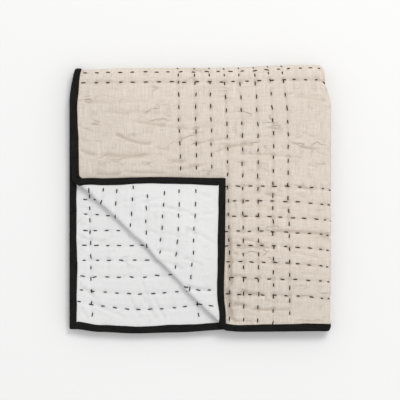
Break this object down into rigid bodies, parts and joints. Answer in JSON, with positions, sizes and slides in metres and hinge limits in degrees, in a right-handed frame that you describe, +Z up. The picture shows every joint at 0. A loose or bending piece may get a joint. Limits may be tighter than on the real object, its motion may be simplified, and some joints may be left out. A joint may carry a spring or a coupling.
{
  "type": "folded bedspread",
  "caption": "Quilted bedspread folded in quarters and lying flat, a corner of its upper leaf turned back to show the pale reverse, with a narrow dark binding.",
  "frame": {"origin": "middle of the underside of the folded stack, on the surface it lies on", "axes": "+Z up through the layers; +X towards the folded side, away from the open side edges; +Y towards the folded end, away from the open front edges"},
  "size_m": [0.525, 0.5391, 0.0583],
  "materials": {
    "face_panel": "matt woven cotton and linen, oatmeal",
    "backing_panel": "matt woven cotton, white",
    "edge_binding": "matt woven cotton, black"
  },
  "bodies": {
    "root": {"face_panel": "face_panel", "backing_panel": "backing_panel", "edge_binding": "edge_binding"}
  },
  "joints": []
}
